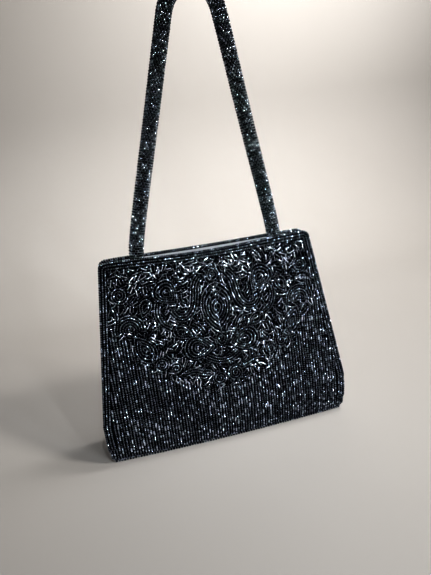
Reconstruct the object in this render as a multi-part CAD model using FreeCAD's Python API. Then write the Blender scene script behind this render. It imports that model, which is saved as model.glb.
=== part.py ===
import FreeCAD, Part
import math
import os

# Evening bag: two stiffened beaded walls on a beaded base tray, satin gussets folded inwards,
# a recessed zip between the walls, and a beaded tube handle sewn in behind the front rim.
# Millimetres. Origin at the middle of the base, +Z up, front wall towards -Y, +X to its right.

V = FreeCAD.Vector
os.makedirs("parts", exist_ok=True)

# ---------------------------------------------------------------- driving dimensions
RIM_Z = 163.5                # top of the bead line on both rims
TOP_HALF_WIDTH = 84.0        # half the width at the rim
WIDE_HALF_WIDTH = 103.6      # half the width at the widest level
BASE_HALF_WIDTH = 100.5      # half the length of the flat base
MOUTH_SPARE = 4.1            # half depth of the mouth, outside, beyond the handle's radius
WIDE_HALF_DEPTH = 23.5       # half the depth at the widest level
BASE_HALF_DEPTH = 18.5       # half the width of the flat base
WIDE_Z = 36.0                # level where the bag is widest
WALL_BOW = 3.0               # how far each wall bows out between its two side edges
BASE_ROUNDING = 4            # power of the curve from the flat base up to the widest level

BEAD_LAYER = 1.9             # thickness of the beadwork
GROUND = 0.4                 # fabric that the beads are sewn to
STIFFENER = 0.8              # buckram behind the ground fabric
LINING = 0.4                 # satin lining and facing
BOARD = 1.6                  # card under the base lining
SEAM_Z = 14.0                # top edge of the base tray, where the walls start
SEAM_GAP = 0.3               # running gap between the front wall and what it leaves behind

RIM_BEAD_HEIGHT = 2.0
RIM_BEAD_OVER = 0.3          # how far the rim beads reach over the ground fabric

GUSSET_SETBACK = 1.2         # gusset edge behind the wall's side edge
GUSSET_FOLD_TOP = 6.0        # depth of the inward fold at the top
GUSSET_FOLD_BASE = 2.0       # depth of the inward fold at the base tray
GUSSET = 0.9                 # outer satin of the gusset with its interfacing
GUSSET_BELOW_RIM = 6.5

POCKET_HALF_WIDTH = 45.0
POCKET_LOW_Z = 45.0
POCKET_HIGH_Z = 105.0
POCKET = 0.7
POCKET_BINDING_HEIGHT = 4.0
POCKET_BINDING = 0.5

ZIP_BELOW_RIM = 12.5         # zip plane below the rim
COIL_WIDTH = 1.5             # one row of zip coil
COIL_HEIGHT = 1.6
COIL_GAP = 1.4               # between the two rows, where the slider's post runs
COIL_HALF_LENGTH = 75.0      # right end of the coil
COIL_LEFT_END = 70.0         # left end of the coil
TAPE = 0.5
TAPE_HALF_LENGTH = 76.8
STOP_LENGTH = 1.6
STOP_OVERSIZE = 0.2          # the crimped stops stand proud of the coil
STOP_GAP = 0.2

SLIDER_LENGTH = 9.0
SLIDER_WIDTH = 7.2
SLIDER_PLATE = 0.8
SLIDER_GAP_BELOW = 0.3       # channel below the coil
SLIDER_GAP_ABOVE = 0.7       # channel above the coil, for the coil's rise as the mouth opens
SLIDER_FLANGE = 1.0
TAPE_SLOT = 1.2              # slot in the flange that the tape runs through
POST_LENGTH = 3.0
POST_WIDTH = 0.8
BAIL_LENGTH = 5.8
BAIL_WIDTH = 1.6
BAIL_WIRE = 0.9
BAIL_ROOM = 1.9              # room under the bail for the pull's crossbar
PULL_LENGTH = 8.7
PULL_BAR_RADIUS = 0.5
PULL_ARM = 0.9
PULL_ARM_GAP = 0.5           # side gap between the pull's arms and the bail
PULL_THICKNESS = 1.0
PULL_EYE_LENGTH = 3.9        # from the crossbar to the solid plate

HANDLE_RADIUS = 5.9          # beaded tube
HANDLE_CORE_RADIUS = 3.9     # rope inside it
HANDLE_LEFT_X = -54.3        # left foot
HANDLE_RIGHT_X = 56.0        # right foot
HANDLE_RISE = 177.5          # rim to the level where the two sides would meet the top run
HANDLE_TOP_LEFT_X = -4.2
HANDLE_TOP_RIGHT_X = 26.6
HANDLE_BEND_RADIUS = 19.0
FLEX_GAP = 0.3               # between the domed end and the foot
FOLD_CLEARANCE = 0.4         # between the rim and the underside of the folded tube
FOOT_DROP = 9.5              # how far the flat foot reaches down inside the rim
FOOT_FLAT_HALF = 1.1         # half the thickness of the flat foot
FOOT_HALF_WIDTH = 5.7
FOOT_FLARE = 3.5             # height above the flat foot's end where the flare starts
FOOT_BACK_GAP = 0.25         # between the foot and the facing
FOOT_SLIM = 0.1              # the foot is this much thinner than the tube, so that they never rub
FOOT_OVAL = 0.05             # the foot's top is this much less deep than it is wide
FOOT_NECK_SHARE = 0.7        # share of the tube's radius that the foot's neck keeps at the back

# ---------------------------------------------------------------- worked out sizes
RIM_BEAD_BASE_Z = RIM_Z - RIM_BEAD_HEIGHT
RIM_BEAD_DEPTH = BEAD_LAYER + RIM_BEAD_OVER
WALL = BEAD_LAYER + GROUND + STIFFENER + LINING
TOP_HALF_DEPTH = HANDLE_RADIUS + MOUTH_SPARE  # middle of the mouth, to the outside of a wall
HANDLE_Y = HANDLE_RADIUS - (TOP_HALF_DEPTH - WALL)  # in line with the wall's inner face
STIFF_IN = BEAD_LAYER + GROUND + STIFFENER
ZIP_Z = RIM_Z - ZIP_BELOW_RIM
COIL_OUT = COIL_GAP / 2 + COIL_WIDTH
TOUCH = 1e-6                 # points this near are one point
CURVE_LEVELS = (0.35, 0.65)  # shares of the height from the seam to the widest level
TRAY_LEVELS = (0, 0.12, 0.3, 0.6, 1)  # shares of the height from the floor to the seam


def half_width(z):
    """Half the width of the bag at level z."""
    if z >= WIDE_Z:
        share = (z - WIDE_Z) / (RIM_Z - WIDE_Z)
        return WIDE_HALF_WIDTH + (TOP_HALF_WIDTH - WIDE_HALF_WIDTH) * share
    left = (1 - z / WIDE_Z) ** BASE_ROUNDING
    return WIDE_HALF_WIDTH - (WIDE_HALF_WIDTH - BASE_HALF_WIDTH) * left


def half_depth(z):
    """Half the depth of the bag at its middle, at level z."""
    if z >= WIDE_Z:
        share = (z - WIDE_Z) / (RIM_Z - WIDE_Z)
        return WIDE_HALF_DEPTH + (TOP_HALF_DEPTH - WIDE_HALF_DEPTH) * share
    left = (1 - z / WIDE_Z) ** BASE_ROUNDING
    return WIDE_HALF_DEPTH - (WIDE_HALF_DEPTH - BASE_HALF_DEPTH) * left


def bow_drop(x, z):
    """How much nearer the middle a wall is at x than at its centre line."""
    half = half_width(z)
    radius = (half * half + WALL_BOW * WALL_BOW) / (2 * WALL_BOW)
    return radius - math.sqrt(radius * radius - x * x)


def wall_levels(low, high):
    """Levels of a wall's loft, shared by all its layers so that they meet face to face."""
    curve = [SEAM_Z + (WIDE_Z - SEAM_Z) * share for share in CURVE_LEVELS]
    middle = [z for z in curve + [WIDE_Z, ZIP_Z] if low < z < high]
    return [low] + middle + [high]


def edges_to_wire(edges):
    return Part.Wire([edge.toShape() for edge in edges])


def wall_section(z, side, outer, inner):
    """Closed outline of one wall layer at level z. side is -1 for the front, 1 for the back."""
    w = half_width(z)
    middle = half_depth(z)
    edge = middle - WALL_BOW
    o_left = V(-w, side * (edge - outer), z)
    o_right = V(w, side * (edge - outer), z)
    i_left = V(-w, side * (edge - inner), z)
    i_right = V(w, side * (edge - inner), z)
    outer_arc = Part.Arc(o_left, V(0, side * (middle - outer), z), o_right)
    inner_arc = Part.Arc(i_right, V(0, side * (middle - inner), z), i_left)
    return edges_to_wire([
        outer_arc,
        Part.LineSegment(o_right, i_right),
        inner_arc,
        Part.LineSegment(i_left, o_left),
    ])


def wall_layer(side, outer, inner, low, high):
    sections = [wall_section(z, side, outer, inner) for z in wall_levels(low, high)]
    return Part.makeLoft(sections, True, True)


def slab(low, high, half_x=None):
    """A block between two levels, used to cut pieces to height and width."""
    half = half_x or 2 * WIDE_HALF_WIDTH
    depth = 4 * WIDE_HALF_DEPTH
    return Part.makeBox(2 * half, depth, high - low, V(-half, -depth / 2, low))


# ---------------------------------------------------------------- base tray
def tray_section(z, inset):
    w = half_width(z) - inset
    middle = half_depth(z) - inset
    edge = middle - WALL_BOW
    return edges_to_wire([
        Part.Arc(V(-w, -edge, z), V(0, -middle, z), V(w, -edge, z)),
        Part.LineSegment(V(w, -edge, z), V(w, edge, z)),
        Part.Arc(V(w, edge, z), V(0, middle, z), V(-w, edge, z)),
        Part.LineSegment(V(-w, edge, z), V(-w, -edge, z)),
    ])


def tray_block(inset, floor):
    """Solid block with the tray's shape, moved in by inset, from the floor up to the seam."""
    sections = [tray_section(floor + (SEAM_Z - floor) * share, inset) for share in TRAY_LEVELS]
    return Part.makeLoft(sections, True, True)


def base_nodes():
    ground_floor = BEAD_LAYER + GROUND
    board_top = ground_floor + BOARD
    outside = tray_block(0, 0)
    under_beads = tray_block(BEAD_LAYER, BEAD_LAYER)
    inside = tray_block(ground_floor, ground_floor)
    clear = tray_block(ground_floor + LINING, board_top + LINING)
    return {
        "base_beadwork": outside.cut(under_beads),
        "base_ground": under_beads.cut(inside),
        "base_board": inside.common(slab(0, board_top)),
        "base_lining": inside.common(slab(board_top, 2 * SEAM_Z)).cut(clear),
    }


# ---------------------------------------------------------------- walls
def rim_beads(side):
    """Bead line along the top of a wall, straight up from the wall's own top edge."""
    outline = wall_section(RIM_BEAD_BASE_Z, side, 0, RIM_BEAD_DEPTH)
    return Part.Face(outline).extrude(V(0, 0, RIM_BEAD_HEIGHT))


def wall_nodes(name, side, low):
    ground_in = BEAD_LAYER + GROUND
    top = RIM_BEAD_BASE_Z
    return {
        name + "_beadwork": wall_layer(side, 0, BEAD_LAYER, low, top),
        name + "_ground": wall_layer(side, BEAD_LAYER, ground_in, low, top),
        name + "_stiffener": wall_layer(side, ground_in, STIFF_IN, low, top),
        name + "_lining": wall_layer(side, STIFF_IN, WALL, low, ZIP_Z),
        name + "_facing": wall_layer(side, STIFF_IN, WALL, ZIP_Z, top),
        name + "_rim_beads": rim_beads(side),
    }


def pocket_nodes():
    """Slip pocket that lies flat on the back lining, with a bound top edge."""
    panel = wall_layer(1, WALL, WALL + POCKET, SEAM_Z, ZIP_Z)
    panel = panel.common(slab(POCKET_LOW_Z, POCKET_HIGH_Z, POCKET_HALF_WIDTH))
    binding = wall_layer(1, WALL + POCKET, WALL + POCKET + POCKET_BINDING, SEAM_Z, ZIP_Z)
    binding_low = POCKET_HIGH_Z - POCKET_BINDING_HEIGHT
    binding = binding.common(slab(binding_low, POCKET_HIGH_Z, POCKET_HALF_WIDTH))
    return {"inner_pocket": panel, "pocket_binding": binding}


# ---------------------------------------------------------------- gussets
def gusset_section(z, side, outer, inner):
    """V-shaped outline folded inwards. side is -1 for the left gusset, 1 for the right."""
    w = half_width(z)
    share = (z - SEAM_Z) / (RIM_Z - SEAM_Z)
    fold = GUSSET_FOLD_BASE + (GUSSET_FOLD_TOP - GUSSET_FOLD_BASE) * share
    reach = half_depth(z) - WALL_BOW - WALL - SEAM_GAP
    edge_x = w - GUSSET_SETBACK
    fold_x = edge_x - fold
    points = [
        V(side * (edge_x - outer), -reach, z),
        V(side * (fold_x - outer), 0, z),
        V(side * (edge_x - outer), reach, z),
        V(side * (edge_x - inner), reach, z),
        V(side * (fold_x - inner), 0, z),
        V(side * (edge_x - inner), -reach, z),
    ]
    return Part.makePolygon(points + points[:1])


def gusset_nodes():
    nodes = {}
    levels = wall_levels(SEAM_Z, RIM_Z - GUSSET_BELOW_RIM)
    layers = (("gusset", 0, GUSSET), ("gusset_lining", GUSSET, GUSSET + LINING))
    for layer, outer, inner in layers:
        for side, word in ((-1, "left"), (1, "right")):
            sections = [gusset_section(z, side, outer, inner) for z in levels]
            nodes[layer + "_" + word] = Part.makeLoft(sections, True, True)
    return nodes


# ---------------------------------------------------------------- zip
def bar(x_low, x_high, y_low, y_high, z_low, z_high):
    size = (x_high - x_low, y_high - y_low, z_high - z_low)
    return Part.makeBox(*size, V(x_low, y_low, z_low))


def zip_tape(side):
    """Tape from the wall's inner face to the coil."""
    z_top = ZIP_Z + TAPE / 2
    x = TAPE_HALF_LENGTH
    wall_middle = half_depth(z_top) - WALL
    wall_end = wall_middle - bow_drop(x, z_top)
    outline = edges_to_wire([
        Part.Arc(V(-x, side * wall_end, 0), V(0, side * wall_middle, 0), V(x, side * wall_end, 0)),
        Part.LineSegment(V(x, side * wall_end, 0), V(x, side * COIL_OUT, 0)),
        Part.LineSegment(V(x, side * COIL_OUT, 0), V(-x, side * COIL_OUT, 0)),
        Part.LineSegment(V(-x, side * COIL_OUT, 0), V(-x, side * wall_end, 0)),
    ])
    tape = Part.Face(outline).extrude(V(0, 0, TAPE))
    tape.translate(V(0, 0, ZIP_Z - TAPE / 2))
    return tape


def coil_row(side, x_low, x_high, oversize=0.0):
    near = COIL_GAP / 2 - oversize / 2
    far = COIL_OUT + oversize
    y_low, y_high = sorted((side * near, side * far))
    half = COIL_HEIGHT / 2 + oversize
    return bar(x_low, x_high, y_low, y_high, ZIP_Z - half, ZIP_Z + half)


def zip_nodes():
    nodes = {}
    for side, word in ((-1, "front"), (1, "back")):
        stop_low = COIL_HALF_LENGTH + STOP_GAP
        coil = coil_row(side, -COIL_LEFT_END, COIL_HALF_LENGTH)
        stop = coil_row(side, stop_low, stop_low + STOP_LENGTH, STOP_OVERSIZE)
        tape = zip_tape(side).cut(stop)
        nodes["zip_tape_" + word] = tape
        nodes["zip_coil_" + word] = coil
        nodes["zip_top_stop_" + word] = stop
    end = -COIL_LEFT_END - STOP_GAP
    stop = coil_row(1, end - STOP_LENGTH, end, STOP_OVERSIZE)
    nodes["zip_bottom_stop"] = stop
    nodes["zip_tape_back"] = nodes["zip_tape_back"].cut(stop)
    return nodes


def slider_body():
    """Two plates joined by the post at the nose, with a split flange round the back row."""
    x_high = COIL_HALF_LENGTH
    x_low = x_high - SLIDER_LENGTH
    half = SLIDER_WIDTH / 2
    channel_low = ZIP_Z - COIL_HEIGHT / 2 - SLIDER_GAP_BELOW
    channel_high = ZIP_Z + COIL_HEIGHT / 2 + SLIDER_GAP_ABOVE
    inner = half - SLIDER_FLANGE
    post_low = x_high - POST_LENGTH
    low_plate = bar(x_low, x_high, -half, half, channel_low - SLIDER_PLATE, channel_low)
    high_plate = bar(x_low, x_high, -half, half, channel_high, channel_high + SLIDER_PLATE)
    low_flange = bar(x_low, x_high, inner, half, channel_low, ZIP_Z - TAPE_SLOT / 2)
    high_flange = bar(x_low, x_high, inner, half, ZIP_Z + TAPE_SLOT / 2, channel_high)
    post = bar(post_low, x_high, -POST_WIDTH / 2, POST_WIDTH / 2, channel_low, channel_high)
    solid = low_plate.multiFuse([high_plate, low_flange, high_flange, post]).removeSplitter()
    corners = [e for e in solid.Edges if is_plate_corner(e, x_low, x_high, half)]
    return solid.makeFillet(SLIDER_FLANGE, corners)


def is_plate_corner(edge, x_low, x_high, half):
    """True for the upright edges at the plates' outer corners."""
    ends = [v.Point for v in edge.Vertexes]
    if len(ends) != 2 or abs(ends[0].x - ends[1].x) > TOUCH or abs(ends[0].y - ends[1].y) > TOUCH:
        return False
    at_end = min(abs(ends[0].x - x_low), abs(ends[0].x - x_high)) < TOUCH
    return at_end and abs(ends[0].y + half) < TOUCH


def slider_top_z():
    return ZIP_Z + COIL_HEIGHT / 2 + SLIDER_GAP_ABOVE + SLIDER_PLATE


def pull_axis():
    """Middle of the crossbar that the pull turns on."""
    x = COIL_HALF_LENGTH - SLIDER_LENGTH / 2
    return V(x, 0, slider_top_z() + BAIL_ROOM / 2)


def slider_bail():
    """Arched loop on the slider that holds the pull."""
    centre = pull_axis().x
    x_low, x_high = centre - BAIL_LENGTH / 2, centre + BAIL_LENGTH / 2
    low = slider_top_z()
    high = low + BAIL_ROOM + BAIL_WIRE
    half = BAIL_WIDTH / 2
    block = bar(x_low, x_high, -half, half, low, high)
    window = bar(x_low + BAIL_WIRE, x_high - BAIL_WIRE, -half, half, low, low + BAIL_ROOM)
    bail = block.cut(window)
    tops = [e for e in bail.Edges if is_bail_shoulder(e, x_low, x_high, high)]
    return bail.makeFillet(BAIL_WIRE, tops)


def is_bail_shoulder(edge, x_low, x_high, high):
    ends = [v.Point for v in edge.Vertexes]
    at_top = all(abs(p.z - high) < TOUCH for p in ends)
    at_end = any(all(abs(p.x - x) < TOUCH for p in ends) for x in (x_low, x_high))
    return at_top and at_end


def zip_pull():
    """Small drop-shaped pull: a crossbar and two arms round the bail, and a rounded plate."""
    axis = pull_axis()
    arm_in = BAIL_WIDTH / 2 + PULL_ARM_GAP
    arm_out = arm_in + PULL_ARM
    crossbar = Part.makeCylinder(PULL_BAR_RADIUS, 2 * arm_out, axis - V(0, arm_out, 0), V(0, 1, 0))
    tip = axis.x - PULL_LENGTH
    shoulder = tip + arm_out
    low = axis.z - PULL_THICKNESS / 2
    outline = edges_to_wire([
        Part.LineSegment(V(axis.x, -arm_out, low), V(shoulder, -arm_out, low)),
        Part.Arc(V(shoulder, -arm_out, low), V(tip, 0, low), V(shoulder, arm_out, low)),
        Part.LineSegment(V(shoulder, arm_out, low), V(axis.x, arm_out, low)),
        Part.LineSegment(V(axis.x, arm_out, low), V(axis.x, -arm_out, low)),
    ])
    plate = Part.Face(outline).extrude(V(0, 0, PULL_THICKNESS))
    eye_low = axis.x - PULL_EYE_LENGTH
    eye_high_z = low + PULL_THICKNESS + PULL_ARM
    eye = bar(eye_low, axis.x + PULL_ARM, -arm_in, arm_in, low - PULL_ARM, eye_high_z)
    return plate.cut(eye).fuse(crossbar).removeSplitter()


# ---------------------------------------------------------------- handle
def flex_z():
    """Level of the line that the handle folds about."""
    return RIM_Z + HANDLE_RADIUS + FOLD_CLEARANCE


def handle_points():
    top = RIM_Z + HANDLE_RISE
    return [
        V(HANDLE_LEFT_X, HANDLE_Y, flex_z()),
        V(HANDLE_TOP_LEFT_X, HANDLE_Y, top),
        V(HANDLE_TOP_RIGHT_X, HANDLE_Y, top),
        V(HANDLE_RIGHT_X, HANDLE_Y, flex_z()),
    ]


def rounded_path(points, radius):
    """Straight runs through the points, with a tangent arc of one radius at each inner point."""
    edges = []
    start = points[0]
    for before, corner, after in zip(points, points[1:], points[2:]):
        into = (corner - before).normalize()
        out = (after - corner).normalize()
        turn = into.getAngle(out)
        reach = radius * math.tan(turn / 2)
        arc_start = corner - into * reach
        arc_end = corner + out * reach
        inward = (out - into).normalize()
        middle = corner + inward * (radius / math.cos(turn / 2) - radius)
        edges.append(Part.LineSegment(start, arc_start))
        edges.append(Part.Arc(arc_start, middle, arc_end))
        start = arc_end
    edges.append(Part.LineSegment(start, points[-1]))
    return edges_to_wire(edges)


def tube_along(path, radius):
    start = path.OrderedVertexes[0].Point
    first = path.OrderedEdges[0]
    direction = first.tangentAt(first.FirstParameter)
    profile = Part.Wire(Part.Circle(start, direction, radius).toShape())
    return path.makePipeShell([profile], True, False)


def handle_end(point, towards):
    """Domed cap on the end of the tube, centred on the line that the handle folds about."""
    direction = (towards - point).normalize()
    return Part.makeSphere(HANDLE_RADIUS, point, direction, -90, 0, 360)


def handle_foot(x):
    """Foot sewn behind the front wall: round at the top, flattened where it is stitched."""
    flat_z = RIM_Z - FOOT_DROP
    flare_z = flat_z + FOOT_FLARE
    neck_z = RIM_BEAD_BASE_Z
    round_half = HANDLE_RADIUS - FOOT_SLIM
    front = -(half_depth(neck_z) - bow_drop(x, neck_z) - WALL) + FOOT_BACK_GAP
    neck_back = HANDLE_Y + FOOT_NECK_SHARE * HANDLE_RADIUS
    neck_half = (neck_back - front) / 2
    flat_y = front + FOOT_FLAT_HALF
    shapes = (
        (flat_z, flat_y, FOOT_HALF_WIDTH, FOOT_FLAT_HALF),
        (flare_z, flat_y, FOOT_HALF_WIDTH, FOOT_FLAT_HALF),
        (neck_z, front + neck_half, round_half, neck_half),
        (flex_z() - HANDLE_RADIUS - FLEX_GAP, HANDLE_Y, round_half, round_half - FOOT_OVAL),
    )
    sections = [
        Part.Wire(Part.Ellipse(V(x, y, z), along, across).toShape())
        for z, y, along, across in shapes
    ]
    return Part.makeLoft(sections, True, True)


def handle_nodes():
    points = handle_points()
    path = rounded_path(points, HANDLE_BEND_RADIUS)
    core = tube_along(path, HANDLE_CORE_RADIUS)
    sleeve = tube_along(path, HANDLE_RADIUS).cut(core)
    section = math.pi * HANDLE_CORE_RADIUS ** 2
    print("handle path length", round(path.Length, 1), "core volume ratio",
          round(core.Volume / (section * path.Length), 4))
    return {
        "handle_core": core,
        "handle_sleeve": sleeve,
        "handle_end_left": handle_end(points[0], points[1]),
        "handle_end_right": handle_end(points[3], points[2]),
        "handle_foot_left": handle_foot(HANDLE_LEFT_X),
        "handle_foot_right": handle_foot(HANDLE_RIGHT_X),
    }


# ---------------------------------------------------------------- the whole bag
def bag_nodes():
    nodes = {}
    nodes.update(base_nodes())
    nodes.update(wall_nodes("back", 1, SEAM_Z))
    nodes.update(wall_nodes("front", -1, SEAM_Z + SEAM_GAP))
    nodes.update(pocket_nodes())
    nodes.update(gusset_nodes())
    nodes.update(zip_nodes())
    nodes["zip_slider"] = slider_body()
    nodes["zip_slider_bail"] = slider_bail()
    nodes["zip_pull"] = zip_pull()
    nodes.update(handle_nodes())
    return nodes


def report_joints():
    axis = pull_axis()
    hinge_y = -half_depth(SEAM_Z)
    print("mouth hinge y z", round(hinge_y, 3), round(SEAM_Z + SEAM_GAP, 3))
    print("pull axis", round(axis.x, 3), round(axis.y, 3), round(axis.z, 3))
    print("handle fold y z", HANDLE_Y, round(flex_z(), 3))


def export(nodes):
    for node, solid in nodes.items():
        if len(solid.Solids) == 1:
            solid = solid.Solids[0]
        print(f"{node:22s} solids {len(solid.Solids)} valid {solid.isValid()}"
              f" volume {solid.Volume:9.1f}")
        solid.exportStep("parts/" + node + ".step")


export(bag_nodes())
report_joints()
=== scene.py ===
import math
import random

import bmesh
import bpy
from mathutils import Matrix, Vector, noise


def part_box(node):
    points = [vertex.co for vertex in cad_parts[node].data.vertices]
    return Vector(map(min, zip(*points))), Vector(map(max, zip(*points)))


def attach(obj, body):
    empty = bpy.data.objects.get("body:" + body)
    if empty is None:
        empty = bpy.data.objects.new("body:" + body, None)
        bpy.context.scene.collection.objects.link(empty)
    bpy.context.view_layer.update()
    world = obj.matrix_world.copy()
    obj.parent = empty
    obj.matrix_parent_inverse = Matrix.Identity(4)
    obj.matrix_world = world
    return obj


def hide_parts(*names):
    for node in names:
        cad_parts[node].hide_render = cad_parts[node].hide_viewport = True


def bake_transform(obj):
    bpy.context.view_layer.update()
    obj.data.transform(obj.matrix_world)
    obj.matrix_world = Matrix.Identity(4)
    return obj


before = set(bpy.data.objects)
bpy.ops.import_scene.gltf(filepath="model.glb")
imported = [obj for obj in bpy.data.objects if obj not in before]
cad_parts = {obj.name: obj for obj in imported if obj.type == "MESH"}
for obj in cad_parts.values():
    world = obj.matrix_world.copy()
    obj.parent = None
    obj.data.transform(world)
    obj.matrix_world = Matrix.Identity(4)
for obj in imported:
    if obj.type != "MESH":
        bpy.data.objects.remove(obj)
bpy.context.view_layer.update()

# Evening bag: beaded walls on a beaded base, satin facings, linings and gussets, a recessed coil
# zip, and a handle that is one rope covered with beads. Metres; wall layouts are in millimetres.

MM = 0.001
TAU = math.tau

# ---- sizes of the bag, millimetres
RIM_Z = 163.5
TOP_HALF_WIDTH = 84.0
WIDE_HALF_WIDTH = 103.6
BASE_HALF_WIDTH = 100.5
TOP_HALF_DEPTH = 10.0
WIDE_HALF_DEPTH = 23.5
BASE_HALF_DEPTH = 18.5
WIDE_Z = 36.0
WALL_BOW = 3.0
SEAM_Z = 14.15
BEAD_LAYER = 1.9
CLOTH = 0.4
BUCKRAM = 0.8
WALL = 3.5
CORNER = 6.5                 # radius of the wall's top corners
FRONT_SAG = 2.2              # how far a rim hangs between its ends
BACK_SAG = 1.1
SAG_FROM = 139.0
SAG_HALF = 76.0

SEED_WIDTH = 1.88
SEED_LENGTH = 1.6
SEED_STEP = 1.8              # along the thread
ROW_PITCH = 2.25             # between rows
SEED_DEPTH = 1.05            # middle of a bead below the outer face of the beadwork
CONTOUR_PITCH = 2.08
BUGLE_WIDTH = 1.34
BUGLE_LENGTH = 4.9
BUGLE_DEPTH = 0.95           # middle of a bugle below the outer face of the beadwork

RIM_TOP_ROW = RIM_Z - 1.25   # second rim row, on the inner side of the wall's edge
RIM_TOP_DEPTH = 2.9
RIM_TOP_HALF = 78.0
RIM_SPLIT = 0.1595           # metres; the border's beads above this level are the rim's
MOTIF_INSET = 7.4            # from the wall's edge to the motif
ROW_INSET = 7.0              # from the wall's edge to the upright rows
DASH_SHARE = 0.16            # share of long beads in the upright rows
DASH_WIDTH = 1.86
DASH_LENGTH = 3.4
HANDLE_FOOT_X = 55.0
FOOT_GAP = 8.0

ZIP_Z = 151.0
HANDLE_Y = -0.6
FOLD_Z = 169.8


# ---- shape of the bag
def smooth(t):
    t = min(max(t, 0.0), 1.0)
    return t * t * (3 - 2 * t)


def taper(z, top, wide, base):
    if z >= WIDE_Z:
        return wide + (top - wide) * (z - WIDE_Z) / (RIM_Z - WIDE_Z)
    return wide - (wide - base) * (1 - z / WIDE_Z) ** 4


def half_width(z):
    return taper(z, TOP_HALF_WIDTH, WIDE_HALF_WIDTH, BASE_HALF_WIDTH)


def half_depth(z):
    return taper(z, TOP_HALF_DEPTH, WIDE_HALF_DEPTH, BASE_HALF_DEPTH)


def bow_drop(x, z):
    half = half_width(z)
    radius = (half * half + WALL_BOW * WALL_BOW) / (2 * WALL_BOW)
    return radius - math.sqrt(max(radius * radius - x * x, 0.0))


def sag(side, x, z):
    """How far the wall has dropped at its rim."""
    most = FRONT_SAG if side < 0 else BACK_SAG
    across = max(0.0, 1 - (x / SAG_HALF) ** 2)
    return most * across * across * smooth((z - SAG_FROM) / (RIM_Z - SAG_FROM))


def wall_point(side, x, z, depth):
    """Point of a wall, depth below its outer face, in metres. side is -1 for the front."""
    y = side * (half_depth(z) - bow_drop(x, z) - depth)
    return Vector((x, y, z - sag(side, x, z))) * MM


def edge_half(z, inset):
    """Half width of a wall at level z, set in from its edge, with its top corner rounded."""
    half = half_width(z) - inset
    radius = CORNER - inset
    above = z - (RIM_Z - inset - radius)
    if above > 0:
        half -= radius - math.sqrt(max(radius * radius - above * above, 0.0))
    return half


# ---- camera
def link(name, data):
    """A new object in the scene."""
    piece = bpy.data.objects.new(name, data)
    bpy.context.scene.collection.objects.link(piece)
    return piece


def make_camera():
    data = bpy.data.cameras.new("camera")
    data.sensor_fit = "VERTICAL"
    data.sensor_height = 36.0
    data.lens = 27.73
    data.dof.use_dof = False
    right = Vector((0.96633, -0.22807, -0.11912))
    down = Vector((-0.17635, -0.24994, -0.95207))
    forward = Vector((0.18736, 0.94102, -0.28175))
    turn = Matrix((right, -down, -forward)).transposed().to_4x4()
    camera = link("camera", data)
    camera.matrix_world = Matrix.Translation(Vector((-0.0639, -0.3386, 0.2285))) @ turn
    bpy.context.scene.camera = camera


make_camera()


# ---- node helpers
def feed(tree, entry, value):
    """Links an output to an input socket, or sets a plain value on it."""
    if isinstance(value, bpy.types.NodeSocket):
        tree.links.new(value, entry)
    else:
        entry.default_value = value


def add(tree, kind, inputs=None, **settings):
    node = tree.nodes.new(kind)
    for key, value in settings.items():
        setattr(node, key, value)
    for key, value in (inputs or {}).items():
        feed(tree, node.inputs[key], value)
    return node


def socket(tree, name, kind, default=None, output=False):
    item = tree.interface.new_socket(
        name=name, in_out="OUTPUT" if output else "INPUT", socket_type="NodeSocket" + kind)
    if default is not None:
        item.default_value = default


def maths(tree, operation, first, second=0.0, third=None):
    node = add(tree, "ShaderNodeMath", operation=operation)
    for index, value in enumerate((first, second, third)):
        if value is not None:
            feed(tree, node.inputs[index], value)
    return node.outputs[0]


def mix_colour(tree, factor, first, second):
    node = add(tree, "ShaderNodeMix", {0: factor, 6: first, 7: second}, data_type="RGBA")
    return node.outputs[2]


def mottle(tree, place, scale, detail):
    return add(tree, "ShaderNodeTexNoise",
               {"Vector": place, "Scale": scale, "Detail": detail}).outputs["Fac"]


def node_group(family, name, inputs, outputs):
    tree = bpy.data.node_groups.new(name, family + "NodeTree")
    for label, kind, default in inputs:
        socket(tree, label, kind, default)
    for label, kind in outputs:
        socket(tree, label, kind, output=True)
    return tree, add(tree, "NodeGroupInput").outputs, add(tree, "NodeGroupOutput").inputs


# ---- shader groups
def glass_group():
    """Colour and roughness of one glass bead from its tone and the place along it; its ends are
    darkened as painted shade.
    """
    tree, given, out = node_group(
        "Shader", "bead_glass",
        (("Tone", "Float", 0.5), ("Ring", "Float", 0.0), ("Place", "Vector", None),
         ("Dark", "Color", (0, 0, 0, 1)), ("Light", "Color", (1, 1, 1, 1)),
         ("Polish", "Float", 0.2)),
        (("Colour", "Color"), ("Roughness", "Float"), ("Height", "Float")))
    cloud = mottle(tree, given["Place"], 900.0, 3.0)
    wide = mottle(tree, given["Place"], 55.0, 2.0)
    tone = maths(tree, "MULTIPLY", given["Tone"], maths(tree, "MULTIPLY_ADD", cloud, 0.9, 0.55))
    tone = maths(tree, "MULTIPLY_ADD", wide, 0.04, maths(tree, "SUBTRACT", tone, 0.02))
    tone = add(tree, "ShaderNodeClamp", {"Value": tone}).outputs[0]
    colour = mix_colour(tree, tone, given["Dark"], given["Light"])
    # Painted shade: the colour darkens towards both ends of the bead, where beads meet along the
    # thread; the roughness rises there too.
    painted_end_shade = maths(tree, "POWER", given["Ring"], 4.0)
    painted_end_shade = maths(tree, "MULTIPLY", painted_end_shade, 0.8)
    tree.links.new(mix_colour(tree, painted_end_shade, colour, (0.004, 0.004, 0.006, 1)), out["Colour"])
    rough = maths(tree, "MULTIPLY_ADD", cloud, 0.16, given["Polish"])
    tree.links.new(maths(tree, "MULTIPLY_ADD", painted_end_shade, 0.3, rough), out["Roughness"])
    tree.links.new(cloud, out["Height"])
    return tree


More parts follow.
